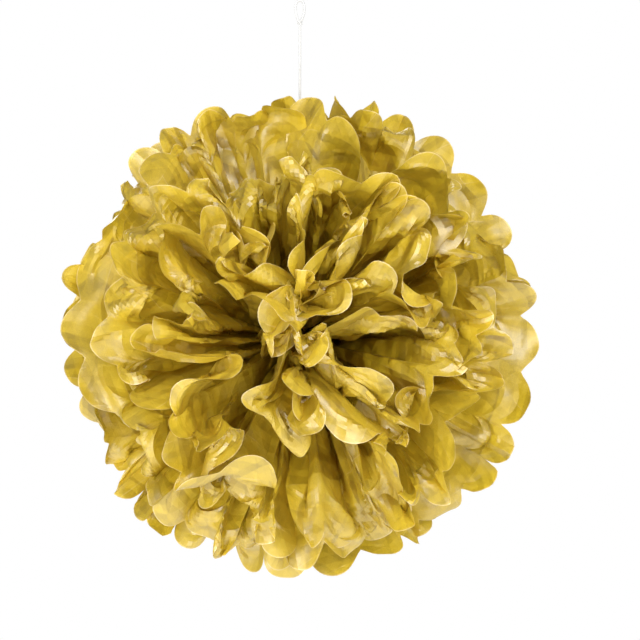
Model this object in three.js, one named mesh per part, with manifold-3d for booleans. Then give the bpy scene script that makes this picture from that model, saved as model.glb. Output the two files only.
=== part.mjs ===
// A tissue paper pom pom that hangs on a white thread.
//
// Ten sheets of tissue are stacked and folded like a concertina, so that they make one strip. A wire is
// twisted round the middle of the strip, the waist, and both ends of the strip are cut round. Each sheet is
// then pulled away from the next, half of them towards the front and half towards the back, until the two
// fans of every sheet, left and right of the waist, stand as pleated half cones about the front-to-back axis.
// Together they fill a ball. The thread is knotted to the eye of the wire, leaves the ball through the seam
// between the left and the right fans, and ends in a loop that goes over a hook.
//
// Millimetres, +Z up. The front of the ball is towards -Y, and the waist runs along X.
// The origin is where a hook bears on the loop, so the ball hangs below it.

import * as THREE from "three";
import { mergeVertices } from "three/addons/utils/BufferGeometryUtils.js";
import Module from "manifold-3d";

const wasm = await Module();
wasm.setup();

// ---- driving dimensions ----

const SHEET_LENGTH = 406; // along the folds, from rim to rim, with the waist in the middle
const SHEET_WIDTH = 658; // across the folds
const PANELS = 18; // between one fold and the next
const SHEETS_A_SIDE = 5; // pulled to the front, and as many to the back
const SHEET_THICKNESS = 0.5; // the room that a crumpled sheet takes up
const LEAST_SLOPE = 0.35; // a steeper panel's skin is thinner, so that tight pleats stay apart

const HANG_DROP = 268; // from the hook down to the middle of the ball

const WIRE_RADIUS = 0.5;
const THREAD_RADIUS = 1.0;
const CLEARANCE = 0.3; // between pieces that touch

// ---- what follows from them ----

const radians = THREE.MathUtils.degToRad;

const PANEL_WIDTH = SHEET_WIDTH / PANELS;
const LOBE_DEPTH = PANEL_WIDTH / 2; // the strip's ends are cut as half circles
const LOBE_SEGMENTS = 5;

const WAIST_HALF_LENGTH = 8;
const WAIST_RADIUS = 10;
const WAIST_PITCH = 1.8; // from one gathered sheet to the next
const BEND_STAGGER = 0.4; // a sheet pulled further bends this much nearer to the wire

const FAN_REACH = SHEET_LENGTH / 2 - WAIST_HALF_LENGTH; // from the waist's end to a lobe's tip
const FOLD_REACH = FAN_REACH - LOBE_DEPTH; // to the notch where a fold ends
const FAN_HALF_ANGLE = radians(91); // the two fans nearly close at the seam
const PANEL_ANGLE = (2 * FAN_HALF_ANGLE) / PANELS;

// How far out each row of points across a fan lies. The pleats open past the second, the throat,
// and the paper curls past the fourth.
const THROAT = 14;
const CURL_START = 125;
const ROWS = [0, THROAT, 60, CURL_START, FOLD_REACH];
const RIM_ROW = ROWS.length - 1;
const POLE_ROOM = 0.62; // the share of the way to the pole that a fold may swing

// How far each sheet is pulled up from the flat, counted from the middle of the ball to its front,
// and how far its rim curls back from that.
const PULL_DEGREES = [8, 24, 40, 57, 76];
const CURL_DEGREES = [5, 16, 26, 32, 30];

// ---- helpers ----

// The direction from the waist at an angle round the front-to-back axis and a pull towards the front.
function direction(angle, pull) {
  return new THREE.Vector3(
    Math.cos(pull) * Math.cos(angle),
    -Math.sin(pull),
    Math.cos(pull) * Math.sin(angle),
  );
}

// The way that a sheet's face looks there, square to that direction and towards the front.
function facing(angle, pull) {
  return new THREE.Vector3(
    -Math.sin(pull) * Math.cos(angle),
    -Math.cos(pull),
    -Math.sin(pull) * Math.sin(angle),
  );
}

function solidOf(geometry) {
  const bare = geometry.clone();
  bare.deleteAttribute("normal");
  bare.deleteAttribute("uv");
  const merged = mergeVertices(bare, 1e-4);
  return new wasm.Manifold(
    new wasm.Mesh({
      numProp: 3,
      vertProperties: new Float32Array(merged.attributes.position.array),
      triVerts: new Uint32Array(merged.index.array),
    }),
  );
}

// Several closed geometries as one, without the specks that strands leave where they only just touch.
function joined(...geometries) {
  const all = geometries.map(solidOf).reduce((sum, next) => sum.add(next));
  const largest = all.decompose().sort((a, b) => b.volume() - a.volume())[0];
  const mesh = largest.getMesh();
  const geometry = new THREE.BufferGeometry();
  geometry.setAttribute("position", new THREE.BufferAttribute(mesh.vertProperties, 3));
  geometry.setIndex(new THREE.BufferAttribute(mesh.triVerts, 1));
  geometry.computeVertexNormals();
  return geometry;
}

// A round bar of some radius along a smooth curve through points.
function bar(points, radius, sides, steps) {
  const section = new THREE.Shape();
  for (let i = 0; i < sides; i++) {
    const a = (2 * Math.PI * i) / sides;
    const [x, y] = [radius * Math.cos(a), radius * Math.sin(a)];
    if (i === 0) section.moveTo(x, y);
    else section.lineTo(x, y);
  }
  section.closePath();
  return new THREE.ExtrudeGeometry(section, {
    steps,
    extrudePath: new THREE.CatmullRomCurve3(points, false, "centripetal"),
    bevelEnabled: false,
  });
}

// A drop-shaped loop of a bar, which starts and ends at its foot and stands up from it.
// across is the axis that the loop opens along its width.
function loopPoints(foot, height, halfWidth, across) {
  const points = [];
  const turns = 12;
  for (let i = 0; i <= turns; i++) {
    const a = (2 * Math.PI * i) / turns;
    const rise = (height / 2) * (1 - Math.cos(a));
    const side = halfWidth * Math.sin(a) * Math.sqrt(rise / height + 0.12);
    points.push(foot.clone().add(new THREE.Vector3(0, 0, rise)).addScaledVector(across, side));
  }
  return points;
}

// ---- a sheet ----

// How far a fold swings to either side of the sheet's pull, so that a panel keeps its width.
// Near the pole there is less room, and close to the waist the pleats are crushed together.
function pleatSwing(pull, reach) {
  const across = reach * Math.cos(pull) * PANEL_ANGLE;
  const rise = Math.sqrt(Math.max(0, PANEL_WIDTH ** 2 - across ** 2)) / 2;
  const room = POLE_ROOM * (Math.PI / 2 - Math.abs(pull));
  return Math.min(Math.asin(Math.min(1, rise / reach)), room);
}

// The folded sheet as a surface: rows of points from the left rim over the waist to the right rim,
// and at each point the way that the sheet would face there if it had no pleats.
function sheetSurface(pull, curl, waistY, bendX) {
  const gatherHalf = Math.sqrt(WAIST_RADIUS ** 2 - waistY ** 2);
  const points = [];
  const faces = [];
  const triangles = [];
  const mirrored = (p, side) => new THREE.Vector3(side * p.x, p.y, p.z);
  const add = (p, face, side) => {
    faces.push(mirrored(face, side));
    return points.push(mirrored(p, side)) - 1;
  };

  const folds = [];
  for (let j = 0; j <= PANELS; j++) {
    const angle = -FAN_HALF_ANGLE + j * PANEL_ANGLE;
    const foot = new THREE.Vector3(bendX, waistY, gatherHalf * ((2 * j) / PANELS - 1));
    const ridge = j % 2 ? 1 : -1;
    const line = ROWS.map((reach) => {
      const straight = Math.min(reach, CURL_START);
      const swing = straight > THROAT ? ridge * pleatSwing(pull, straight) : 0;
      return foot.clone().addScaledVector(direction(angle, pull + swing), straight);
    });
    const rimSwing = ridge * pleatSwing(pull, FOLD_REACH);
    const curled = direction(angle, pull + rimSwing - curl / 2);
    line[RIM_ROW].addScaledVector(curled, FOLD_REACH - CURL_START);
    const lean = ROWS.map((_, i) => (i === 0 ? pull / 2 : pull));
    lean[RIM_ROW] = pull - curl / 2;
    folds.push({ line, faces: lean.map((at) => facing(angle, at)) });
  }

  const rows = { left: [], right: [] };
  for (const [name, side] of [["left", -1], ["right", 1]]) {
    for (let i = 0; i < ROWS.length; i++) {
      rows[name].push(folds.map((fold) => add(fold.line[i], fold.faces[i], side)));
    }
  }

  // A panel takes two triangles between two rows, split alike on both sides of a fold.
  const band = (inner, outer) => {
    for (let j = 0; j < PANELS; j++) {
      const [a, b, c, d] = [inner[j], outer[j], outer[j + 1], inner[j + 1]];
      if (j % 2) triangles.push([a, b, d], [b, c, d]);
      else triangles.push([a, b, c], [a, c, d]);
    }
  };
  const flipped = (make) => {
    const from = triangles.length;
    make();
    for (let t = from; t < triangles.length; t++) triangles[t].reverse();
  };

  // A lobe is the half round end of a panel, past the notches at its two folds.
  const lobes = (name, side) => {
    const base = rows[name][RIM_ROW];
    for (let j = 0; j < PANELS; j++) {
      const middle = -FAN_HALF_ANGLE + (j + 0.5) * PANEL_ANGLE;
      const outwards = direction(middle, pull - curl);
      const [start, end] = [folds[j].line[RIM_ROW], folds[j + 1].line[RIM_ROW]];
      let previous = base[j + 1];
      for (let n = LOBE_SEGMENTS - 1; n > 0; n--) {
        const a = (Math.PI * n) / LOBE_SEGMENTS;
        const share = (1 - Math.cos(a)) / 2;
        const p = start.clone().lerp(end, share);
        p.addScaledVector(outwards, LOBE_DEPTH * Math.sin(a));
        const next = add(p, facing(middle, pull - curl), side);
        triangles.push([base[j], next, previous]);
        previous = next;
      }
    }
  };

  const fan = (name, side) => {
    for (let i = 0; i + 1 < ROWS.length; i++) band(rows[name][i], rows[name][i + 1]);
    lobes(name, side);
  };
  fan("right", 1);
  flipped(() => fan("left", -1));
  flipped(() => band(rows.right[0], rows.left[0])); // through the waist
  return { points, faces, triangles };
}

// A surface with some thickness, as a closed skin: two sides a little apart, joined along the edge.
function thickened({ points, faces, triangles }, thickness) {
  const slopes = points.map(() => []);
  for (const t of triangles) {
    const ab = points[t[1]].clone().sub(points[t[0]]);
    const ac = points[t[2]].clone().sub(points[t[0]]);
    const normal = ab.cross(ac).normalize();
    for (const i of t) slopes[i].push(Math.abs(normal.dot(faces[i])));
  }
  const halves = slopes.map((near) => {
    const mean = near.reduce((sum, slope) => sum + slope, 0) / near.length;
    return thickness / 2 / Math.max(mean, LEAST_SLOPE);
  });

  const offset = (side) => points.map((p, i) => p.clone().addScaledVector(faces[i], side * halves[i]));
  const corners = [...offset(1), ...offset(-1)];
  const count = points.length;
  const skin = [];
  const open = new Map(); // edges that one triangle alone has
  for (const [a, b, c] of triangles) {
    skin.push([a, b, c], [a + count, c + count, b + count]);
    for (const [from, to] of [[a, b], [b, c], [c, a]]) {
      const back = `${to},${from}`;
      if (open.has(back)) open.delete(back);
      else open.set(`${from},${to}`, [from, to]);
    }
  }
  for (const [from, to] of open.values()) {
    skin.push([from, from + count, to + count], [from, to + count, to]);
  }

  const geometry = new THREE.BufferGeometry().setFromPoints(corners);
  geometry.setIndex(skin.flat());
  geometry.computeVertexNormals();
  return geometry;
}

// ---- the wire round the waist ----

const WIRE_RING_RADIUS = WAIST_RADIUS + CLEARANCE + 2 * WIRE_RADIUS;
const TWIST_LENGTH = 9;
const TWIST_TURNS = 2.5;
const SUNK = 0.3; // how far one bar starts inside the next
const EYE_FOOT = WIRE_RING_RADIUS + TWIST_LENGTH - SUNK;
const EYE_HEIGHT = 8;
const EYE_HALF_WIDTH = 3.4;

function wireGeometry() {
  const ring = new THREE.TorusGeometry(WIRE_RING_RADIUS, WIRE_RADIUS, 6, 18);
  ring.rotateY(Math.PI / 2); // round the waist, which runs along X

  const strands = [0, Math.PI].map((start) => {
    const points = [];
    const steps = 12;
    for (let i = 0; i <= steps; i++) {
      const a = start + (TWIST_TURNS * 2 * Math.PI * i) / steps;
      const z = WIRE_RING_RADIUS + (TWIST_LENGTH * i) / steps;
      const out = 0.8 * WIRE_RADIUS; // so that the strands press into each other
      points.push(new THREE.Vector3(out * Math.cos(a), out * Math.sin(a), z));
    }
    return bar(points, WIRE_RADIUS, 5, 10);
  });

  const foot = new THREE.Vector3(0, 0, EYE_FOOT);
  const eye = bar(
    loopPoints(foot, EYE_HEIGHT, EYE_HALF_WIDTH, new THREE.Vector3(1, 0, 0)),
    WIRE_RADIUS,
    5,
    12,
  );
  return joined(ring, ...strands, eye);
}

// ---- the thread ----

const THREAD_LOOP_HEIGHT = 18;
const THREAD_LOOP_HALF_WIDTH = 4.5;
const KNOT_RADIUS = 2.2;
const KNOT_STRETCH = 1.15; // a pulled knot is longer than it is wide
const TURN_TO_KNOT = 2.4; // from the turn in the eye up to the knot

// Made about the middle of the ball, like everything else.
function threadGeometry() {
  const eyeTop = EYE_FOOT + EYE_HEIGHT; // the middle of the wire at the eye's top
  const grip = WIRE_RADIUS + CLEARANCE + THREAD_RADIUS; // from the wire's middle to the thread's
  const lowerKnotZ = eyeTop + grip + TURN_TO_KNOT;
  const loopTop = HANG_DROP + THREAD_RADIUS; // so that its inside is where the hook bears
  const upperKnotZ = loopTop - THREAD_LOOP_HEIGHT;

  const lowerTurn = [];
  const turns = 12;
  for (let i = 0; i <= turns; i++) {
    // from the knot round under the eye's wire and back
    const a = (2 * Math.PI * i) / turns;
    const pinch = i === 0 || i === turns ? lowerKnotZ - eyeTop : grip;
    lowerTurn.push(new THREE.Vector3(0, pinch * Math.sin(a), eyeTop + pinch * Math.cos(a)));
  }

  const knot = (z) => {
    const lump = new THREE.SphereGeometry(KNOT_RADIUS, 8, 6);
    lump.scale(1, 1, KNOT_STRETCH);
    lump.translate(0, 0, z);
    return lump;
  };
  const stretch = bar(
    [new THREE.Vector3(0, 0, lowerKnotZ), new THREE.Vector3(0, 0, upperKnotZ)],
    THREAD_RADIUS,
    8,
    2,
  );
  const foot = new THREE.Vector3(0, 0, upperKnotZ);
  const loop = bar(
    loopPoints(foot, THREAD_LOOP_HEIGHT, THREAD_LOOP_HALF_WIDTH, new THREE.Vector3(1, 0, 0)),
    THREAD_RADIUS,
    6,
    18,
  );
  return joined(
    bar(lowerTurn, THREAD_RADIUS, 6, 12),
    knot(lowerKnotZ),
    stretch,
    knot(upperKnotZ),
    loop,
  );
}

// ---- the pom pom ----

const tissue = new THREE.MeshStandardMaterial({
  color: 0xbf9f30,
  roughness: 0.45,
  metalness: 0.35,
  side: THREE.DoubleSide,
});
const wire = new THREE.MeshStandardMaterial({ color: 0xb9b9b4, roughness: 0.35, metalness: 0.9 });
const thread = new THREE.MeshStandardMaterial({ color: 0xf3f1ec, roughness: 0.7, metalness: 0 });

function piece(name, geometry, material) {
  const mesh = new THREE.Mesh(geometry, material);
  mesh.name = name;
  return mesh;
}

const ball = new THREE.Group();
ball.position.z = -HANG_DROP;

for (let n = 0; n < SHEETS_A_SIDE; n++) {
  const pull = radians(PULL_DEGREES[n]);
  const curl = radians(CURL_DEGREES[n]);
  const waistY = (n + 0.5) * WAIST_PITCH;
  const bendX = WAIST_HALF_LENGTH - n * BEND_STAGGER;
  const front = sheetSurface(pull, curl, -waistY, bendX);
  ball.add(piece(`front_sheet_${n + 1}`, thickened(front, SHEET_THICKNESS), tissue));
  const back = sheetSurface(-pull, -curl, waistY, bendX);
  ball.add(piece(`back_sheet_${n + 1}`, thickened(back, SHEET_THICKNESS), tissue));
}

ball.add(piece("waist_wire", wireGeometry(), wire));
ball.add(piece("hang_thread", threadGeometry(), thread));

const pomPom = new THREE.Group();
pomPom.add(ball);

export default pomPom;
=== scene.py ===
import math

import bpy
import numpy as np
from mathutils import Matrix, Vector


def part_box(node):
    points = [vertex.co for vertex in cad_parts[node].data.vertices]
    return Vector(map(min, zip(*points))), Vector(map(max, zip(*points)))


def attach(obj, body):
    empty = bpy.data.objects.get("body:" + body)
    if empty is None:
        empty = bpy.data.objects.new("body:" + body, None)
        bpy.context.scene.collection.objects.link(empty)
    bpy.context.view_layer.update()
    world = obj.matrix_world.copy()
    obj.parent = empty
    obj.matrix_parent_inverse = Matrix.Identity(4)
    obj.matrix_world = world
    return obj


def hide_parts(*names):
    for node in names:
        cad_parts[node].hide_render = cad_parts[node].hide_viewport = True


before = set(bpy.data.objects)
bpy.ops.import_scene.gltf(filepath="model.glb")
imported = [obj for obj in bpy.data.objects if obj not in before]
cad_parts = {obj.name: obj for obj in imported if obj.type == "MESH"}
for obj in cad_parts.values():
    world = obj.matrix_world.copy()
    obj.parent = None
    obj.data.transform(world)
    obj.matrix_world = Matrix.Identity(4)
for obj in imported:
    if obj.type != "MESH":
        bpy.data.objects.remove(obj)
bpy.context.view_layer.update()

scene = bpy.context.scene

# The ball's middle lies straight under the thread's top. The front of the ball is towards -Y.
# Lengths are in metres, and angles in degrees where no note says otherwise.
threadRise = 0.270  # from the ball's middle to the thread's top
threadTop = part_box("hang_thread")[1][2]
ballMiddle = Vector((0, 0, threadTop - threadRise))


# camera

cameraSettings = {
    "lens": 105.0,
    "azimuth": 3.6,  # to the right of straight ahead
    "elevation": 1.5,
    "viewWidth": 0.518,  # across the view at the ball's middle
    "aside": 0.0162,  # the view's middle is right of the ball's middle
    "above": 0.0113,
}


def makeCamera(s):
    data = bpy.data.cameras.new("camera")
    data.lens = s["lens"]
    camera = bpy.data.objects.new("camera", data)
    scene.collection.objects.link(camera)
    distance = s["viewWidth"] * s["lens"] / data.sensor_width
    azimuth = math.radians(s["azimuth"])
    elevation = math.radians(s["elevation"])
    towards = Vector((
        math.sin(azimuth) * math.cos(elevation),
        -math.cos(azimuth) * math.cos(elevation),
        math.sin(elevation),
    ))
    sideways = Vector((math.cos(azimuth), math.sin(azimuth), 0))
    aim = ballMiddle + sideways * s["aside"] + Vector((0, 0, s["above"]))
    camera.location = aim + towards * distance
    camera.rotation_euler = (-towards).to_track_quat("-Z", "Y").to_euler()
    scene.camera = camera


makeCamera(cameraSettings)
print("camera set")


# thread: up from the eye of the wire, taut, with a loop at its top

threadSettings = {
    "diameter": 0.002,
    "eyeTop": 0.028,  # the four heights are above the ball's middle
    "lowerKnot": 0.0322,
    "upperKnot": 0.251,
    "loopTop": 0.269,
    "runPoints": 12,  # between the knots
    "loopHalfWidth": 0.0045,
    "loopFoot": 0.12,  # how wide the loop stays close to its knot
    "turnRadius": 0.0018,  # round the wire of the eye
    "turnSteps": 16,  # round the loop, and round the eye
    "knotRadius": 0.0022,
    "knotTuck": 0.45,  # the share of the thread's radius by which the winding is drawn in
    "knotDepth": 0.8,  # front to back, beside its width
    "knotHeight": 0.75,
    "knotThread": 0.62,  # the thread's thickness in a knot, where it is squeezed
    "knotSteps": 36,
}


def curveObject(name, points, radius, cyclic=False):
    data = bpy.data.curves.new(name, "CURVE")
    data.dimensions = "3D"
    data.bevel_depth = 1.0  # times each point's radius, so that the curve's box is its true one
    data.bevel_resolution = 4
    data.resolution_u = 6
    data.use_fill_caps = True
    spline = data.splines.new("NURBS")
    spline.points.add(len(points) - 1)
    for point, place in zip(spline.points, points):
        point.co = (*place, 1.0)
        point.radius = radius
    spline.order_u = 3
    spline.use_endpoint_u = not cyclic
    spline.use_cyclic_u = cyclic
    thing = bpy.data.objects.new(name, data)
    scene.collection.objects.link(thing)
    return thing


def threadRoute(s):
    route = [(0, 0, z) for z in np.linspace(s["lowerKnot"], s["upperKnot"], s["runPoints"])]
    rise = s["loopTop"] - s["upperKnot"]
    for i in range(1, s["turnSteps"]):
        a = 2 * math.pi * i / s["turnSteps"]
        up = rise / 2 * (1 - math.cos(a))
        side = s["loopHalfWidth"] * math.sin(a) * math.sqrt(up / rise + s["loopFoot"])
        route.append((side, 0, s["upperKnot"] + up))
    route.append((0, 0, s["upperKnot"]))
    return [Vector(p) + ballMiddle for p in route]


# The turn round the wire, whose two ends run up into the lower knot.
def turnPoints(s):
    points = []
    for i in range(s["turnSteps"] + 1):
        a = 2 * math.pi * i / s["turnSteps"]
        isEnd = i in (0, s["turnSteps"])
        reach = s["lowerKnot"] - s["eyeTop"] if isEnd else s["turnRadius"]
        points.append(ballMiddle + Vector((0, reach * math.sin(a), s["eyeTop"] + reach * math.cos(a))))
    return points


# An overhand knot pulled tight: a short trefoil winding, a little flattened.
def knotPoints(s, height):
    middle = ballMiddle + Vector((0, 0, height))
    reach = s["knotRadius"] - s["diameter"] / 2 * s["knotTuck"]
    points = []
    for i in range(s["knotSteps"]):
        a = 2 * math.pi * i / s["knotSteps"]
        out = (math.sin(a) + 2 * math.sin(2 * a)) / 3 * reach
        across = (math.cos(a) - 2 * math.cos(2 * a)) / 3 * reach
        up = -math.sin(3 * a) * reach
        points.append(middle + Vector((out, across * s["knotDepth"], up * s["knotHeight"])))
    return points


def makeThread(s):
    radius = s["diameter"] / 2
    route = threadRoute(s)
    thread = curveObject("thread", route, radius)
    turn = curveObject("thread_turn", turnPoints(s), radius)
    knots = [
        curveObject(name, knotPoints(s, height), radius * s["knotThread"], cyclic=True)
        for name, height in (("lower_knot", s["lowerKnot"]), ("upper_knot", s["upperKnot"]))
    ]
    return thread, route, turn, knots


thread, threadPoints, threadTurn, threadKnots = makeThread(threadSettings)
threadPieces = (thread, threadTurn, *threadKnots)
for piece in threadPieces:
    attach(piece, "root")
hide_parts("hang_thread")
print("thread made")


# sheets: ten pleated fans on each side of the waist, five pulled to the front and five to the back

# A ramp is a pair of reaches from the waist: what it names sets in between them.
sheetSettings = {
    # the sheet as it is cut
    "length": 0.406,  # along the folds, rim to rim
    "width": 0.658,  # across the folds
    "panels": 18,
    # at the waist
    "waistHalfLength": 0.008,
    "waistRadius": 0.010,
    "waistPitch": 0.0018,  # from one sheet to the next
    "bendStagger": 0.0004,  # each further sheet bends this much nearer the middle
    "crushedTo": 0.070,  # inside this reach the paper is gathered narrower
    "crushedShare": 0.28,
    # how a fan is opened and pulled, with one value for each sheet where there are five
    "fanEnds": [95.0, 94.5],  # down and up from level, past upright so that no gap opens
    "fanSpread": 3.0,
    "opennessShared": 0.34,  # how unevenly the pleats open, alike in all fans of one quarter
    "opennessOwn": 0.30,
    "pulls": [7, 25, 43, 60, 75],  # from the ball's middle plane to the front or the back
    "fanTilts": [0.5, 1.5, 3, 6, 9],  # how far a fan leans as a whole
    "leanRamp": (0.02, 0.13),
    "looseFirst": 0.6,  # how freely the first sheet's folds stand, and how much more each next one's
    "looseEach": 0.38,
    "slack": 0.93,  # how much of a panel's width is left between its folds once it cups
    "swingMost": 0.42,  # the sine of a fold's widest angle from the middle of its pleats
    "swingFrom": 0.012,  # the least reach at which that angle is worked out
    "swingRamp": (0.004, 0.03),
    "wander": 8,  # how far a fold strays from its place
    "wanderSteps": 2.4,  # folds from one stray to the next
    "wanderRamp": (0.03, 0.14),
    "wanderOutSteps": 1.3,
    "wanderOutRamp": (0.10, 0.2),
    # how the rim turns
    "curls": [2, 10, 18, 24, 22],  # how far it turns back outwards
    "curlSpread": 44,
    "sideSpread": 22,  # how far it turns aside
    "curlSteps": 1.1,
    "curlStart": 0.134,
    # how a petal bends, each in its own way
    "petalCurlMean": 0.2,  # radians
    "petalCurlSpread": 52,
    "petalCurlStart": (0.142, 0.178),  # the reach where it starts is between these
    "petalCurlLength": 0.007,
    "petalTwistSpread": 45,
    "twistRamp": (0.135, 0.205),
    "tipBendSpread": 60,  # of the sharp bend near a petal's tip
    "tipBendShare": 0.6,  # of the petals have one
    "tipRows": (0.76, 0.93),  # the share of the rows below that bend, between these
    "cup": (0.001, 0.006),  # how deep a panel's soft cup is
    "cupRamp": (0.03, 0.13),
    "creasesMost": 3,  # up a panel besides its folds
    "creaseDepth": 0.0120,
    "flatten": 1.15,  # how far a petal's end turns out of its pleat to lie over its neighbours
    "openLeast": 0.1,  # the least share of its width that a panel counts as open
    "rollShare": (0.1, 1.3),  # of its panel's slope, between these
    "rollSpread": 0.5,  # radians
    "rollRamp": (0.122, 0.180),
    # gentle swells over the whole sheet
    "swell": 0.0016,
    "swellWaves": 7,
    "swellSize": 0.030,
    "swellRange": (0.8, 2.4),  # a wave's length in swellSize
    "swellRamp": (0.03, 0.12),
    # crumples as size, depth and number of directions
    "crumples": [(0.024, 0.0010, 4), (0.011, 0.0003, 6)],
    "crumpleRange": (0.8, 2.0),
    "crumpleBend": 0.35,
    "crumpleBendLengths": (2.3, 1.9),
    "crumpleRamp": (0.02, 0.09),
    "crispFrom": 13,  # paper that bends more than this between two faces is creased
    # how the paper settles: memory draws it back to the shape it was given, smooth straightens it
    "settleFans": {"passes": 90, "memory": 0.03, "smooth": 0.04, "apart": True},
    "settleFine": {"passes": 14, "memory": 0.0, "smooth": 0.25, "apart": False},
    "settleCrumples": {"passes": 12, "memory": 0.10, "smooth": 0.0, "apart": False},
    "heldRamp": (0.016, 0.040),  # tied fast before it, free to move past it
    "diagonalHold": 0.6,
    "apartEvery": 4,  # passes
    "apartLeast": 0.004,  # two sheets whose same points are nearer than this are pushed
    "apartMost": 0.006,
    "apartShare": 0.25,  # of what is missing, in one go
    # points
    "finePoints": 121,  # along a fold, before the rows are picked from them
    "panelColumns": 8,  # across one panel before it is refined
    "rows": 31,  # from the waist to the rim before it is refined
    "seed": 27,
}


def smoothRamp(x, low, high):
    t = np.clip((x - low) / (high - low), 0, 1)
    return t * t * (3 - 2 * t)


def unitDirection(angle, pull):
    return np.stack([
        np.cos(pull) * np.cos(angle),
        -np.sin(pull) * np.ones_like(angle),
        np.cos(pull) * np.sin(angle),
    ], axis=-1)


# Turns vectors about axes by angles, all of them arrays.
def turned(vectors, axes, angles):
    c = np.cos(angles)[..., None]
    s = np.sin(angles)[..., None]
    along = np.sum(vectors * axes, axis=-1, keepdims=True)
    return vectors * c + np.cross(axes, vectors) * s + axes * along * (1 - c)


# Uneven values along a line, joined up from random ones a few steps apart.
def smoothWalk(rng, count, stepsApart, size):
    knots = rng.normal(0, size, int(count / stepsApart) + 3)
    return np.interp(np.arange(count) / stepsApart + rng.random(), np.arange(len(knots)), knots)


# The share of a panel's width that is left at a reach from the waist.
def gatheredShare(s, reach):
    return s["crushedShare"] + (1 - s["crushedShare"]) * smoothRamp(reach, 0, s["crushedTo"])


# Where the columns of points lie, counted in panels: closer together next to the folds.
def flatColumns(s, panelColumns):
    u = -np.cos(np.pi * np.arange(panelColumns) / panelColumns)
    return np.concatenate([j + (u + 1) / 2 for j in range(s["panels"])] + [[s["panels"]]])


# Each point's reach from the waist on the flat half sheet, and its place u from -1 to 1 across its panel.
def flatPlaces(s, across, rows):
    petalRadius = s["width"] / s["panels"] / 2
    reachMost = s["length"] / 2 - s["waistHalfLength"]
    within = across - np.floor(across)
    u = np.clip(2 * within - 1, -1, 1)
    rim = reachMost - petalRadius + petalRadius * np.sqrt(np.clip(1 - u * u, 0, 1))
    share = np.linspace(0, 1, rows + 1)
    return share[:, None] * rim[None, :], u


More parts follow.
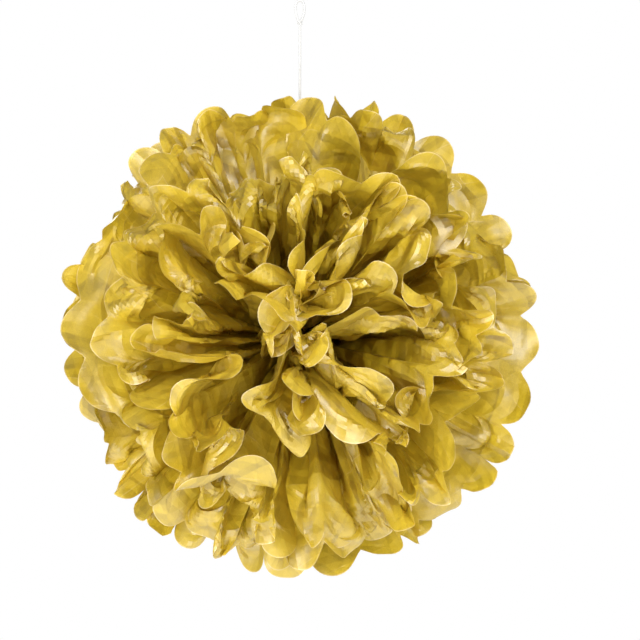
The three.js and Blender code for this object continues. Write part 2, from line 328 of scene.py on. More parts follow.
# One fan of a sheet as rows of points, with its feet at the waist, and the points where it is creased
# up its panels and over its petals.
def fanPlaces(s, rng, sharedOpenness, number, isFront, isRight, across):
    rows = s["rows"]
    panels = s["panels"]
    panel = s["width"] / panels
    pull = math.radians(s["pulls"][number])
    reachMost = s["length"] / 2 - s["waistHalfLength"]
    waistY = -(number + 0.5) * s["waistPitch"]
    gather = math.sqrt(s["waistRadius"] ** 2 - waistY ** 2)
    footX = s["waistHalfLength"] - number * s["bendStagger"]
    loose = s["looseFirst"] + s["looseEach"] * number

    def stray(stepsApart, size):
        return smoothWalk(rng, panels + 1, stepsApart, math.radians(size)) * loose

    # how far open each pleat stands, and how its folds stray
    openness = np.exp(s["opennessShared"] * sharedOpenness + rng.normal(0, s["opennessOwn"], panels))
    angles = np.concatenate([[0], np.cumsum(openness)])
    ends = np.radians(s["fanEnds"] + rng.normal(0, s["fanSpread"], 2))
    angles = -ends[0] + (ends[0] + ends[1]) * angles / angles[-1]
    spacing = np.diff(angles)
    spacing = np.concatenate([[spacing[0]], (spacing[1:] + spacing[:-1]) / 2, [spacing[-1]]])
    wander = stray(s["wanderSteps"], s["wander"])
    wanderOut = stray(s["wanderOutSteps"], s["wander"])
    curls = math.radians(s["curls"][number]) + stray(s["curlSteps"], s["curlSpread"])
    sideways = stray(s["curlSteps"], s["sideSpread"])

    # the folds, each one a line from its foot
    fine = np.linspace(0, 1, s["finePoints"]) * reachMost
    chord = panel * s["slack"] * gatheredShare(s, fine)
    swingRamp = smoothRamp(fine, *s["swingRamp"])
    wanderRamp = smoothRamp(fine, *s["wanderRamp"])
    wanderOutRamp = smoothRamp(fine, *s["wanderOutRamp"])
    folds = []
    for j in range(panels + 1):
        ridge = 1 if (j % 2 == 1) == isFront else -1
        acrossChord = fine * math.cos(pull) * spacing[j]
        rise = np.sqrt(np.clip(chord ** 2 - acrossChord ** 2, 0, None)) / 2
        sine = np.clip(rise / np.maximum(fine, s["swingFrom"]), 0, s["swingMost"])
        swing = np.arcsin(sine) * swingRamp
        latitude = np.minimum(pull, math.radians(90) - swing) + ridge * swing
        latitude = latitude + wander[j] * wanderRamp + wanderOut[j] * wanderOutRamp
        foot = np.array([footX, waistY, gather * (2 * j / panels - 1)])
        folds.append(foot + fine[:, None] * unitDirection(np.full_like(fine, angles[j]), latitude))
    folds = np.array(folds)  # fold, along, xyz
    tilts = np.radians(rng.normal(0, s["fanTilts"][number], 2))
    lean = smoothRamp(fine, *s["leanRamp"])[None, :]
    for axis, tilt in zip(((1.0, 0.0, 0.0), (0.0, 0.0, 1.0)), tilts):
        axes = np.broadcast_to(axis, folds.shape)
        folds = turned(folds, axes, tilt * lean * np.ones((panels + 1, 1)))

    # the paper between the folds
    reach, u = flatPlaces(s, across, rows)
    mid = 1 - u ** 2  # 1 at a panel's middle, 0 at its folds
    j0 = np.minimum(np.floor(across).astype(int), panels - 1)
    share = across - j0

    def between(values):
        return (values[j0] * (1 - share) + values[j0 + 1] * share)[:, None]

    lines = folds[j0] * (1 - share)[:, None, None] + folds[j0 + 1] * share[:, None, None]
    here = between(angles) * np.ones_like(fine)[None, :]
    level = np.stack([-np.sin(here), np.zeros_like(here), np.cos(here)], axis=-1)
    facing = np.stack([
        -math.sin(pull) * np.cos(here),
        -math.cos(pull) * np.ones_like(here),
        -math.sin(pull) * np.sin(here),
    ], axis=-1)

    # each petal's own curl, twist and bend near its tip
    moves = np.diff(lines, axis=1, prepend=lines[:, :1])
    petalCurl = rng.normal(s["petalCurlMean"], math.radians(s["petalCurlSpread"]), panels)[j0]
    petalTwist = rng.normal(0, math.radians(s["petalTwistSpread"]), panels)[j0]
    curlFrom = rng.uniform(*s["petalCurlStart"], panels)
    tipBend = rng.normal(0, math.radians(s["tipBendSpread"]), panels)
    tipBend = (tipBend * (rng.random(panels) < s["tipBendShare"]))[j0]
    lowestTip, highestTip = (int(rows * part) for part in s["tipRows"])
    tipRow = rng.integers(lowestTip, highestTip, panels)[j0]
    curlRow = np.round((curlFrom + s["petalCurlLength"] / 2) / reachMost * rows).astype(int)[j0]
    row = np.arange(rows + 1)[:, None]
    creasedOver = (row == tipRow) | (row == curlRow)
    pastTip = (fine[None, :] > reach[tipRow, np.arange(len(across))][:, None]).astype(float)
    curlRamp = smoothRamp(fine, s["curlStart"], reachMost)[None, :]
    curlFrom = curlFrom[j0][:, None]
    petalRamp = smoothRamp(fine[None, :], curlFrom, curlFrom + s["petalCurlLength"])
    twistRamp = smoothRamp(fine, *s["twistRamp"])[None, :]
    bend = between(curls) * curlRamp + petalCurl[:, None] * mid[:, None] * petalRamp
    bend += (tipBend * np.sqrt(mid))[:, None] * pastTip
    moves = turned(moves, level, bend)
    twist = between(sideways) * curlRamp + petalTwist[:, None] * (u * mid)[:, None] * twistRamp
    moves = turned(moves, facing, twist)
    lines = lines[:, :1] + np.cumsum(moves, axis=1)

    # a soft cup across the panel, and creases up it
    each = s["panelColumns"]
    cup = rng.choice([-1, 1], panels) * rng.uniform(*s["cup"], panels)
    offset = cup[j0] * mid
    creasedUp = np.zeros(len(across), dtype=bool)
    for j in range(panels):
        count = rng.integers(1, s["creasesMost"] + 1)
        picks = np.sort(rng.choice(np.arange(2, each - 1), count, replace=False))
        depths = rng.normal(0, s["creaseDepth"], count)
        columns = np.arange(j * each, (j + 1) * each + 1)
        at = np.concatenate([[j], across[j * each + picks], [j + 1]])
        offset[columns] += np.interp(across[columns], at, np.concatenate([[0], depths, [0]]))
        creasedUp[j * each + picks] = True
    lines = lines + facing * offset[:, None, None] * smoothRamp(fine, *s["cupRamp"])[None, :, None]

    # a petal's end turns about its own middle, out of its pleat
    middles = lines[np.arange(panels) * each + each // 2][j0]
    heading = np.gradient(middles, axis=1)
    heading /= np.linalg.norm(heading, axis=-1, keepdims=True) + 1e-12
    room = reachMost * math.cos(pull) * np.diff(angles)
    steep = np.arccos(np.clip(room / (panel * s["slack"]), s["openLeast"], 1))
    slope = np.where((np.arange(panels) % 2 == 0) == isFront, 1.0, -1.0)
    roll = -slope * steep * rng.uniform(*s["rollShare"], panels) * s["flatten"]
    roll += rng.normal(0, s["rollSpread"], panels)
    turn = (roll[j0] * np.sqrt(mid))[:, None] * smoothRamp(fine, *s["rollRamp"])[None, :]
    lines = middles + turned(lines - middles, heading, turn)

    # picked at the rows' own reach
    where = reach.T / (fine[1] - fine[0])
    low = np.minimum(where.astype(int), len(fine) - 2)
    part = (where - low)[..., None]
    columns = np.arange(len(across))[:, None]
    places = lines[columns, low] * (1 - part) + lines[columns, low + 1] * part
    places = places.transpose(1, 0, 2).copy()
    if not isFront:
        places[..., 1] *= -1
    if not isRight:
        places[..., 0] *= -1
    return places + np.array(ballMiddle), np.broadcast_to(creasedUp, creasedOver.shape), creasedOver


# All sheets as one array: sheet, row from the left rim over the waist to the right rim, column, xyz.
# They go from the back of the ball to its front.
def allPlaces(s):
    rng = np.random.default_rng(s["seed"])
    across = flatColumns(s, s["panelColumns"])
    numbers = range(len(s["pulls"]))
    order = [(n, False) for n in reversed(numbers)] + [(n, True) for n in numbers]
    sharedOpenness = {
        (isFront, isRight): rng.normal(0, 1, s["panels"])
        for isFront in (False, True) for isRight in (False, True)
    }
    kept = ([], [], [])
    for number, isFront in order:
        left, right = [
            fanPlaces(s, rng, sharedOpenness[isFront, isRight], number, isFront, isRight, across)
            for isRight in (False, True)
        ]
        for whole, leftPart, rightPart in zip(kept, left, right):
            whole.append(np.concatenate([leftPart[::-1], rightPart]))
    places, creasedUp, creasedOver = (np.array(whole) for whole in kept)
    reach, _ = flatPlaces(s, across, s["rows"])
    reach = np.concatenate([-reach[::-1], reach])

    # gentle swells, so that the paper doesn't buckle everywhere alike
    wide = across[None, :] * s["width"] / s["panels"]
    ramp = smoothRamp(np.abs(reach), *s["swellRamp"])
    for sheet, normals in zip(places, gridNormals(places)):
        swell = softSwell(s, rng, wide, reach) * s["swell"]
        sheet += normals * (swell * ramp)[..., None]
    return places, across, reach, order, (creasedUp, creasedOver)


def softSwell(s, rng, wide, along):
    height = np.zeros(np.broadcast_shapes(wide.shape, along.shape))
    for _ in range(s["swellWaves"]):
        angle = rng.uniform(0, math.pi)
        wave = s["swellSize"] * rng.uniform(*s["swellRange"])
        start = rng.uniform(0, 6.3)  # radians, about a whole turn
        heading = wide * math.cos(angle) + along * math.sin(angle)
        height += np.sin(heading * 2 * math.pi / wave + start)
    return height / math.sqrt(s["swellWaves"])


# The lengths that the paper keeps between neighbouring points: across, along and both diagonals.
def restLengths(s, across, reach):
    narrow = gatheredShare(s, np.abs(reach))
    step = np.diff(across) * (s["width"] / s["panels"])
    wide = step * (narrow[:, 1:] + narrow[:, :-1]) / 2
    acrossRest = np.hypot(wide, np.diff(reach, axis=1))
    alongRest = np.abs(np.diff(reach, axis=0))
    waist = len(reach) // 2 - 1
    alongRest[waist] = 2 * s["waistHalfLength"]
    wideMean = (wide[1:] + wide[:-1]) / 2
    downRest = np.hypot(wideMean, np.abs(reach[1:, 1:] - reach[:-1, :-1]))
    upRest = np.hypot(wideMean, np.abs(reach[1:, :-1] - reach[:-1, 1:]))
    return [rest.astype(np.float32) for rest in (acrossRest, alongRest, downRest, upRest)]


# Every other pair of neighbours in a line of points, from the pair that begins at start.
def neighbours(start, size):
    return slice(start, size - 1, 2), slice(start + 1, size, 2)


def keepLength(places, free, first, second, rest, strength):
    a = places[(slice(None), *first)]
    b = places[(slice(None), *second)]
    gap = b - a
    length = np.sqrt(np.einsum("...i,...i->...", gap, gap)) + 1e-9
    push = gap * (strength * 0.5 * (1 - rest / length))[..., None]
    a += push * free[first][..., None]
    b -= push * free[second][..., None]


# Lets the paper find its shape: it keeps its lengths, resists bending except at its folds and creases,
# and is drawn back to the shape it was given. Where apart is true, sheets are pushed off each other too.
def settlePaper(s, places, across, reach, creases, passes, memory, smooth, apart):
    acrossRest, alongRest, downRest, upRest = restLengths(s, across, reach)
    places = places.astype(np.float32)
    wished = places.copy()
    free = smoothRamp(np.abs(reach), *s["heldRamp"]).astype(np.float32)
    rows, columns = reach.shape
    gaps = np.diff(across)
    share = (gaps[:-1] / (gaps[:-1] + gaps[1:])).astype(np.float32)[None, None, :, None]
    isFold = np.isclose(across, np.round(across))
    creasedUp, creasedOver = creases
    bendable = smooth * free[:, 1:-1] * ~(isFold[None, None, 1:-1] | creasedUp[:, :, 1:-1])
    bendable = bendable.astype(np.float32)[..., None]
    bendableAlong = (smooth * free[1:-1] * ~creasedOver[:, 1:-1]).astype(np.float32)[..., None]
    holding = (memory * free).astype(np.float32)[None, :, :, None]
    whole = slice(None)
    for turn in range(passes):
        for start in (0, 1):
            a, b = neighbours(start, columns)
            keepLength(places, free, (whole, a), (whole, b), acrossRest[:, a], 1.0)
            a, b = neighbours(start, rows)
            keepLength(places, free, (a, whole), (b, whole), alongRest[a], 1.0)
        for startRow in (0, 1):
            a, b = neighbours(startRow, rows)
            for startColumn in (0, 1):
                c, d = neighbours(startColumn, columns)
                keepLength(places, free, (a, c), (b, d), downRest[a, c], s["diagonalHold"])
                keepLength(places, free, (a, d), (b, c), upRest[a, c], s["diagonalHold"])
        straight = places[:, :, :-2] * (1 - share) + places[:, :, 2:] * share
        places[:, :, 1:-1] += (straight - places[:, :, 1:-1]) * bendable
        straight = (places[:, :-2] + places[:, 2:]) / 2
        places[:, 1:-1] += (straight - places[:, 1:-1]) * bendableAlong
        places += (wished - places) * holding
        if apart and turn % s["apartEvery"] == s["apartEvery"] - 1:
            pushApart(s, places, free)
    return places


# Pushes a sheet and the next one apart where the same point of both comes too close. Other points
# aren't looked at, so petals that turn aside can still cross.
def pushApart(s, places, free):
    offset = places - np.array(ballMiddle, dtype=np.float32)
    flat = np.hypot(offset[..., 0], offset[..., 2])
    radius = np.sqrt(flat ** 2 + offset[..., 1] ** 2)
    latitude = np.arctan2(-offset[..., 1], flat)
    lack = np.clip(s["apartLeast"] - np.diff(latitude, axis=0) * radius[1:], 0, s["apartMost"])
    lack = lack * free * s["apartShare"]
    angle = np.arctan2(offset[..., 2], offset[..., 0])
    forwards = np.stack([
        -np.sin(latitude) * np.cos(angle),
        -np.cos(latitude),
        -np.sin(latitude) * np.sin(angle),
    ], axis=-1)
    places[1:] += forwards[1:] * lack[..., None]
    places[:-1] -= forwards[:-1] * lack[..., None]


# Values along one axis of an array, read at other places between its own.
def spread(values, at, wanted, axis):
    index = np.clip(np.searchsorted(at, wanted, side="right") - 1, 0, len(at) - 2)
    part = (wanted - at[index]) / (at[index + 1] - at[index])
    shape = [1] * values.ndim
    shape[axis] = -1
    part = part.reshape(shape)
    return np.take(values, index, axis) * (1 - part) + np.take(values, index + 1, axis) * part


# Twice as many columns and rows: new columns lie inside each panel, and new rows between the old.
def refined(s, places, across, reach, creases):
    finer = flatColumns(s, s["panelColumns"] * 2)
    rows = len(reach) // 2 - 1
    finerReach, _ = flatPlaces(s, finer, rows * 2)
    finerReach = np.concatenate([-finerReach[::-1], finerReach])
    side = rows + 1
    finerSide = rows * 2 + 1
    wider = spread(places, across, finer, 2)
    finerRows = np.linspace(0, rows, finerSide)
    halves = [spread(half, np.arange(side), finerRows, 1) for half in (wider[:, :side], wider[:, side:])]

    creasedUp, creasedOver = creases
    finerUp = np.zeros((len(places), len(finerReach), len(finer)), dtype=bool)
    finerUp[:, :finerSide, ::2] = creasedUp[:, :1, :]
    finerUp[:, finerSide:, ::2] = creasedUp[:, -1:, :]
    finerOver = np.zeros_like(finerUp)
    for fromRow, toRow in ((0, 0), (side, finerSide)):
        finerOver[:, toRow:toRow + finerSide:2, ::2] = creasedOver[:, fromRow:fromRow + side]
    finerOver[:, :, 1::2] = finerOver[:, :, :-1:2] | finerOver[:, :, 2::2]
    return np.concatenate(halves, axis=1), finer, finerReach, (finerUp, finerOver)


def gridNormals(places):
    alongRows = np.gradient(places, axis=1)
    alongColumns = np.gradient(places, axis=2)
    normals = np.cross(alongColumns, alongRows)
    return normals / (np.linalg.norm(normals, axis=-1, keepdims=True) + 1e-12)


# Crumples: flat facets between creases in several directions, from folded waves over bent ground.
def crumples(s, rng, across, along, size, depth, directions):
    height = np.zeros(np.broadcast_shapes(across.shape, along.shape))
    acrossBend, alongBend = (length * size for length in s["crumpleBendLengths"])
    for _ in range(directions):
        angle = rng.uniform(0, math.pi)
        wave = size * rng.uniform(*s["crumpleRange"])
        bendA, bendB = rng.uniform(0, 2 * math.pi, 2)
        bent = np.sin(across / acrossBend + bendA) + np.sin(along / alongBend + bendB)
        bent = s["crumpleBend"] * size * bent
        phase = (across * math.cos(angle) + along * math.sin(angle) + bent) / wave + rng.random()
        height += np.abs((phase % 1) * 2 - 1) * 2 - 1
    return height * depth / math.sqrt(directions)


def sheetObject(s, name, places, across, reach, creases, material):
    rows, columns = reach.shape
    data = bpy.data.meshes.new(name)
    index = np.arange(rows * columns).reshape(rows, columns)
    corners = [index[:-1, :-1], index[:-1, 1:], index[1:, 1:], index[1:, :-1]]
    quads = np.stack(corners, axis=-1).reshape(-1, 4)
    data.vertices.add(rows * columns)
    data.vertices.foreach_set("co", places.reshape(-1).astype(np.float32))
    data.loops.add(quads.size)
    data.loops.foreach_set("vertex_index", quads.reshape(-1).astype(np.int32))
    data.polygons.add(len(quads))
    data.polygons.foreach_set("loop_start", np.arange(0, quads.size, 4, dtype=np.int32))
    data.polygons.foreach_set("loop_total", np.full(len(quads), 4, dtype=np.int32))
    data.update(calc_edges=True)
    data.shade_smooth()

    # the flat sheet's own places, in metres, and a mark along its cut rims, where the tissue gets a
    # painted highlight
    wide = np.broadcast_to(across[None, :] * s["width"] / s["panels"], reach.shape)
    flat = np.stack([wide, reach], axis=-1).reshape(-1, 2)
    uv = data.uv_layers.new(name="flat")
    uv.data.foreach_set("uv", flat[quads.reshape(-1)].astype(np.float32).reshape(-1))
    rim = data.attributes.new("rim", "FLOAT", "POINT")
    isRim = np.zeros(reach.shape, dtype=np.float32)
    isRim[[0, -1]] = 1
    rim.data.foreach_set("value", isRim.reshape(-1))

    # sharp along the folds and the creases, and wherever the paper bends sharply
    ends = np.empty(len(data.edges) * 2, dtype=np.int32)
    data.edges.foreach_get("vertices", ends)
    first, second = ends.reshape(-1, 2).T
    isFold = np.isclose(across, np.round(across))
    upwards = first % columns == second % columns
    up, over = (crease.reshape(-1) for crease in creases)
    data.set_sharp_from_angle(angle=math.radians(s["crispFrom"]))
    sharp = np.zeros(len(data.edges), dtype=bool)
    data.attributes["sharp_edge"].data.foreach_get("value", sharp)
    sharp |= upwards & (isFold[first % columns] | (up[first] & up[second]))
    sharp |= ~upwards & over[first] & over[second]
    data.edges.foreach_set("use_edge_sharp", sharp)
    data.validate()
    data.materials.append(material)
    thing = bpy.data.objects.new(name, data)
    scene.collection.objects.link(thing)
    return thing


# materials

# Links sockets into a node's inputs, and sets plain values on them.
def feed(tree, node, inputs):
    for name, value in inputs.items():
        if isinstance(value, bpy.types.NodeSocket):
            tree.links.new(value, node.inputs[name])
        else:
            node.inputs[name].default_value = value


# A new node with its own settings, and with its inputs linked or set.
def addNode(tree, kind, inputs, **settings):
    node = tree.nodes.new("ShaderNode" + kind)
    for name, value in settings.items():
        setattr(node, name, value)
    feed(tree, node, inputs)
    return node


def addMath(tree, operation, *values):
    return addNode(tree, "Math", dict(enumerate(values)), operation=operation).outputs["Value"]


def mapped(tree, value, low, high, fromLow=0.0, fromHigh=1.0):
    inputs = {"Value": value, "From Min": fromLow, "From Max": fromHigh, "To Min": low, "To Max": high}
    return addNode(tree, "MapRange", inputs).outputs["Result"]


def mixColours(tree, factor, first, second):
    inputs = {"Factor": factor, "A": first, "B": second}
    return addNode(tree, "Mix", inputs, data_type="RGBA").outputs["Result"]


def addBump(tree, height, depth, strength=1.0, **more):
    inputs = {"Height": height, "Distance": depth, "Strength": strength, **more}
    return addNode(tree, "Bump", inputs).outputs["Normal"]


# A group that takes a vector and named numbers, and puts out named values.
def newGroup(name, numbers, outputs):
    group = bpy.data.node_groups.new(name, "ShaderNodeTree")
    group.interface.new_socket(name="Vector", in_out="INPUT", socket_type="NodeSocketVector")
    for socketName, value in numbers.items():
        socket = group.interface.new_socket(name=socketName, in_out="INPUT", socket_type="NodeSocketFloat")
        socket.default_value = value
    for socketName in outputs:
        group.interface.new_socket(name=socketName, in_out="OUTPUT", socket_type="NodeSocketFloat")
    return group, group.nodes.new("NodeGroupInput").outputs, group.nodes.new("NodeGroupOutput")


# Soft uneven patches and a fine grain, both as values from 0 to 1.
def makeGrainGroup():
    numbers = {"Patch Scale": 20.0, "Grain Scale": 400.0, "Warp": 0.4}
    group, given, end = newGroup("unevenGrain", numbers, ["Patch", "Grain"])
    patch = addNode(group, "TexNoise", {
        "Vector": given["Vector"],
        "Scale": given["Patch Scale"],
        "Distortion": given["Warp"],
        "Detail": 3.0,
    })
    grain = addNode(group, "TexNoise", {
        "Vector": given["Vector"],
        "Scale": given["Grain Scale"],
        "Detail": 2.0,
        "Roughness": 0.6,
    })
    feed(group, end, {"Patch": patch.outputs["Fac"], "Grain": grain.outputs["Fac"]})
    return group


crumpleSettings = {
    "waves": [(14, 1.0), (83, 1.6), (133, 2.2)],  # direction, and length in facet sizes
    "lineReach": 0.00045,  # how far a crease's line shows on each side of it
    "lineScale": 45.0,
    "lineRange": (0.50, 0.60),
}


# Crumpled facets: folded waves in three directions over bent ground, so that flat places meet along
# sharp creases. Height is from 0 to 1.6, and Crease marks thin lines along some of the creases, where the
# tissue gets a painted highlight.
def makeCrumpleGroup(s):
    numbers = {"Facet Size": 0.012, "Bend Scale": 40.0, "Bend Amount": 0.02}
    group, given, end = newGroup("crumpleFacets", numbers, ["Height", "Crease"])
    vector = given["Vector"]
    bend = addNode(group, "TexNoise", {"Vector": vector, "Scale": given["Bend Scale"], "Detail": 1.0})
    amount = addNode(
        group, "VectorMath", {0: bend.outputs["Color"], "Scale": given["Bend Amount"]}, operation="SCALE",
    )
    bent = addNode(group, "VectorMath", {0: vector, 1: amount.outputs["Vector"]}, operation="ADD")
    folds = []
    for angle, wave in s["waves"]:
        direction = (math.cos(math.radians(angle)), math.sin(math.radians(angle)), 0)
        along = addNode(
            group, "VectorMath", {0: bent.outputs["Vector"], 1: direction}, operation="DOT_PRODUCT",
        )
        size = addMath(group, "MULTIPLY", given["Facet Size"], wave)
        folds.append(addMath(group, "PINGPONG", along.outputs["Value"], size))
    total = folds[0]
    for folded in folds[1:]:
        total = addMath(group, "ADD", total, folded)
    share = addMath(group, "DIVIDE", total, given["Facet Size"])
    height = addMath(group, "MULTIPLY", share, 1 / len(folds))

    # the lines show on two of the waves, here and there
    lines = [mapped(group, folded, 1.0, 0.0, 0.0, s["lineReach"]) for folded in folds[:2]]
    places = addNode(group, "TexNoise", {"Vector": vector, "Scale": s["lineScale"]})
    shown = mapped(group, places.outputs["Fac"], 0.0, 1.0, *s["lineRange"])
    crease = addMath(group, "MULTIPLY", addMath(group, "MAXIMUM", *lines), shown)
    feed(group, end, {"Height": height, "Crease": crease})
    return group


grainGroup = makeGrainGroup()
crumpleGroup = makeCrumpleGroup(crumpleSettings)


def placeGroup(tree, group, vector, values):
    return addNode(tree, "Group", {"Vector": vector, **values}, node_tree=group)


def newMaterial(name):
    material = bpy.data.materials.new(name)
    material.use_nodes = True
    tree = material.node_tree
    return material, tree, tree.nodes["Principled BSDF"]


tissueSettings = {
    "deep": (0.44, 0.297, 0.005, 1),
    "gold": (0.65, 0.455, 0.010, 1),
    "toneRange": (0.32, 0.68),  # of the patches, where deep turns to gold and smooth to rough
    "speck": (0.66, 0.49, 0.020, 1),
    "speckRange": (0.42, 0.66),
    "speckMost": 0.5,
    # the colour of the painted sheen and of the painted highlights on creases and cut edges
    "paintedLightColour": (0.95, 0.80, 0.50, 1),
    "paintedSheenBlend": 0.25,
    "paintedSheenMost": 0.08,  # how pale the painted sheen makes it, seen edge on
    "creaseHighlightMost": 0.30,  # how pale the painted highlight along a crease is
    "rimHighlightRange": (0.66, 0.84),
    "rimHighlightMost": 0.45,  # how pale the painted highlight on a cut edge is
    "roughness": (0.46, 0.60),
    "shader": {
        "Metallic": 0.10,
        "IOR": 1.45,
        "Specular Tint": (1.0, 0.86, 0.55, 1),
        "Coat Weight": 0.74,
        "Coat Roughness": 0.36,
        "Coat IOR": 2.15,
    },
    "through": (0.95, 0.70, 0.05, 1),
    "throughShare": 0.16,
    "grain": {"Patch Scale": 22.0, "Grain Scale": 1100.0, "Warp": 0.6},
    "facets": {"Facet Size": 0.016, "Bend Scale": 16.0, "Bend Amount": 0.023},
    "facetDepth": 0.0115,
    "fine": {"Facet Size": 0.0045, "Bend Scale": 60.0, "Bend Amount": 0.006},
    "fineDepth": 0.0018,
    "grainInFine": 0.10,
}


# Gold tissue: satin, a little see-through, crumpled in crisp facets, with a painted sheen that turns it
# paler seen edge on, and painted highlights along some creases and on its cut edges.
def makeTissue(s):
    material, tree, surface = newMaterial("gold_tissue")
    flat = addNode(tree, "UVMap", {}, uv_map="flat").outputs["UV"]
    rim = addNode(tree, "Attribute", {}, attribute_name="rim").outputs["Fac"]
    glance = addNode(tree, "LayerWeight", {"Blend": s["paintedSheenBlend"]}).outputs["Facing"]
    grain = placeGroup(tree, grainGroup, flat, s["grain"]).outputs
    facets = placeGroup(tree, crumpleGroup, flat, s["facets"]).outputs
    fine = placeGroup(tree, crumpleGroup, flat, s["fine"]).outputs

    tone = mapped(tree, grain["Patch"], 0.0, 1.0, *s["toneRange"])
    colour = mixColours(tree, tone, s["deep"], s["gold"])
    speckle = mapped(tree, grain["Grain"], 0.0, s["speckMost"], *s["speckRange"])
    colour = mixColours(tree, speckle, colour, s["speck"])
    # a painted sheen: the colour turns paler seen edge on
    paintedSheen = mapped(tree, glance, 0.0, s["paintedSheenMost"])
    # a painted highlight along some of the creases
    creaseHighlight = mapped(tree, facets["Crease"], 0.0, s["creaseHighlightMost"])
    # a painted highlight along the cut edges
    rimHighlight = mapped(tree, rim, 0.0, s["rimHighlightMost"], *s["rimHighlightRange"])
    for paintedMark in (paintedSheen, creaseHighlight, rimHighlight):
        colour = mixColours(tree, paintedMark, colour, s["paintedLightColour"])

    fineHeight = addMath(tree, "MULTIPLY_ADD", grain["Grain"], s["grainInFine"], fine["Height"])
    fineNormal = addBump(tree, fineHeight, s["fineDepth"])
    normal = addBump(tree, facets["Height"], s["facetDepth"], Normal=fineNormal)
    roughness = mapped(tree, grain["Patch"], *s["roughness"], *s["toneRange"])
    feed(tree, surface, {"Base Color": colour, "Roughness": roughness, "Normal": normal})
    feed(tree, surface, s["shader"])

    through = addNode(tree, "BsdfTranslucent", {"Color": s["through"], "Normal": normal})
    both = addNode(tree, "MixShader", {
        "Fac": s["throughShare"],
        1: surface.outputs["BSDF"],
        2: through.outputs["BSDF"],
    })
    feed(tree, tree.nodes["Material Output"], {"Surface": both.outputs["Shader"]})
    return material


tissue = makeTissue(tissueSettings)


# the ten sheets, from the laid out fans to finished pieces

def makeSheets(s):
    places, across, reach, order, creases = allPlaces(s)
    print("fans laid out")
    places = settlePaper(s, places, across, reach, creases, **s["settleFans"])
    print("paper settled")
    places, across, reach, creases = refined(s, places, across, reach, creases)
    places = settlePaper(s, places, across, reach, creases, **s["settleFine"])
    rng = np.random.default_rng(s["seed"] + 1)
    panel = s["width"] / s["panels"]
    wide = across[None, :] * panel
    ramp = smoothRamp(np.abs(reach), *s["crumpleRamp"])
    for sheet, normals in zip(places, gridNormals(places)):
        height = sum(crumples(s, rng, wide, reach, *crumple) for crumple in s["crumples"])
        sheet += normals * (height * ramp)[..., None]
    places = settlePaper(s, places, across, reach, creases, **s["settleCrumples"])
    print("crumples settled")
    for n, (number, isFront) in enumerate(order):
        side = "front" if isFront else "back"
        own = creases[0][n], creases[1][n]
        thing = sheetObject(s, f"{side}_tissue_{number + 1}", places[n], across, reach, own, tissue)
        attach(thing, "root")
        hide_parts(f"{side}_sheet_{number + 1}")


makeSheets(sheetSettings)
print("sheets made")


# thread and wire finishes

threadFinishSettings = {
    "dark": (0.54, 0.54, 0.53, 1),
    "light": (0.64, 0.64, 0.63, 1),
    "grain": {"Patch Scale": 180.0, "Grain Scale": 2600.0, "Warp": 0.2},
    "roughness": (0.62, 0.86),
    "strandScale": 420.0,
    "strandWarp": 1.2,
    "depth": 0.0003,
    "strength": 0.6,
}

wireFinishSettings = {
    "dark": (0.42, 0.42, 0.40, 1),
    "light": (0.66, 0.66, 0.63, 1),
    "grain": {"Patch Scale": 240.0, "Grain Scale": 3200.0, "Warp": 0.5},
    "roughness": (0.24, 0.46),
    "metallic": 1.0,
    "depth": 0.0001,
    "strength": 0.25,
}


# A material whose colour varies in soft patches.
def patchyMaterial(name, s):
    material, tree, surface = newMaterial(name)
    where = addNode(tree, "TexCoord", {}).outputs["Object"]
    grain = placeGroup(tree, grainGroup, where, s["grain"]).outputs
    feed(tree, surface, {"Base Color": mixColours(tree, grain["Patch"], s["dark"], s["light"])})
    return material, tree, surface, where, grain


def makeThreadFinish(s):
    material, tree, surface, where, grain = patchyMaterial("white_thread", s)
    inputs = {"Vector": where, "Scale": s["strandScale"], "Distortion": s["strandWarp"]}
    strands = addNode(tree, "TexWave", inputs, bands_direction="DIAGONAL")
    feed(tree, surface, {
        "Roughness": mapped(tree, grain["Grain"], *s["roughness"]),
        "Normal": addBump(tree, strands.outputs["Fac"], s["depth"], s["strength"]),
    })
    return material


def makeWireFinish(s):
    material, tree, surface, _, grain = patchyMaterial("bright_wire", s)
    feed(tree, surface, {
        "Metallic": s["metallic"],
        "Roughness": mapped(tree, grain["Grain"], *s["roughness"]),
        "Normal": addBump(tree, grain["Grain"], s["depth"], s["strength"]),
    })
    return material


threadFinish = makeThreadFinish(threadFinishSettings)
for piece in threadPieces:
    piece.data.materials.append(threadFinish)
wireFinish = makeWireFinish(wireFinishSettings)
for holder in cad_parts["waist_wire"].material_slots:
    holder.material = wireFinish
print("finishes set")


# floor and light

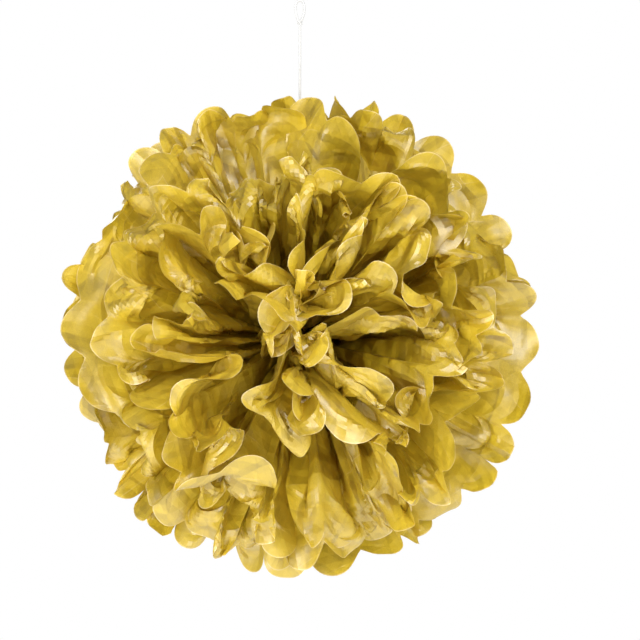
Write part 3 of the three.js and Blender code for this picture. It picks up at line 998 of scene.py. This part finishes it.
studioSettings = {
    "floorBelow": 0.75,  # under the ball's middle
    "floorSize": 3.2,
    "floorFinish": {
        "dark": (0.93, 0.93, 0.93, 1),
        "light": (0.96, 0.96, 0.96, 1),
        "grain": {"Patch Scale": 1.5, "Grain Scale": 60.0, "Warp": 0.2},
    },
    "floorRoughness": 0.9,
    "white": (1, 1, 1, 1),
    "world": 0.81,
    "worldInShine": 0.08,  # the share of the light from all round that shows in shine
    "lights": [
        {"name": "key", "power": 37.0, "size": 1.6, "place": (1.05, -1.7, 0.75), "inShine": True},
        {"name": "fill", "power": 27.0, "size": 1.4, "place": (-1.1, -1.5, -0.75), "inShine": True},
        {"name": "front", "power": 12.0, "size": 1.6, "place": (-0.3, -2.2, 0.4), "inShine": False},
        {"name": "behind", "power": 24.0, "size": 1.4, "place": (-0.7, 1.9, 0.8), "inShine": True},
    ],
}


def makeFloor(s):
    half = s["floorSize"] / 2
    low = ballMiddle.z - s["floorBelow"]
    corners = [(x * half, y * half, low) for x, y in ((-1, -1), (1, -1), (1, 1), (-1, 1))]
    mesh = bpy.data.meshes.new("floor")
    mesh.from_pydata(corners, [], [(0, 1, 2, 3)])
    floor = bpy.data.objects.new("floor", mesh)
    scene.collection.objects.link(floor)
    material, _, surface, _, _ = patchyMaterial("pale_floor", s["floorFinish"])
    surface.inputs["Roughness"].default_value = s["floorRoughness"]
    mesh.materials.append(material)


# A round soft lamp that shines at the ball's middle.
def areaLight(light):
    data = bpy.data.lights.new(light["name"], "AREA")
    data.energy = light["power"]
    data.shape = "DISK"
    data.size = light["size"]
    lamp = bpy.data.objects.new(light["name"], data)
    scene.collection.objects.link(lamp)
    lamp.location = light["place"]
    lamp.rotation_euler = (ballMiddle - Vector(light["place"])).to_track_quat("-Z", "Y").to_euler()
    lamp.visible_glossy = light["inShine"]


# Soft light from all round, in front of a plain white ground.
def makeWorld(s):
    world = bpy.data.worlds.new("studio")
    world.use_nodes = True
    tree = world.node_tree
    rays = addNode(tree, "LightPath", {}).outputs
    lost = s["world"] * (s["worldInShine"] - 1)
    strength = addMath(tree, "MULTIPLY_ADD", rays["Is Glossy Ray"], lost, s["world"])
    around = tree.nodes["Background"]
    feed(tree, around, {"Color": s["white"], "Strength": strength})
    ground = addNode(tree, "Background", {"Color": s["white"]})
    either = addNode(tree, "MixShader", {
        "Fac": rays["Is Camera Ray"],
        1: around.outputs["Background"],
        2: ground.outputs["Background"],
    })
    feed(tree, tree.nodes["World Output"], {"Surface": either.outputs["Shader"]})
    scene.world = world


makeFloor(studioSettings)
makeWorld(studioSettings)
for light in studioSettings["lights"]:
    areaLight(light)
scene.view_settings.view_transform = "Standard"
print("studio lit")
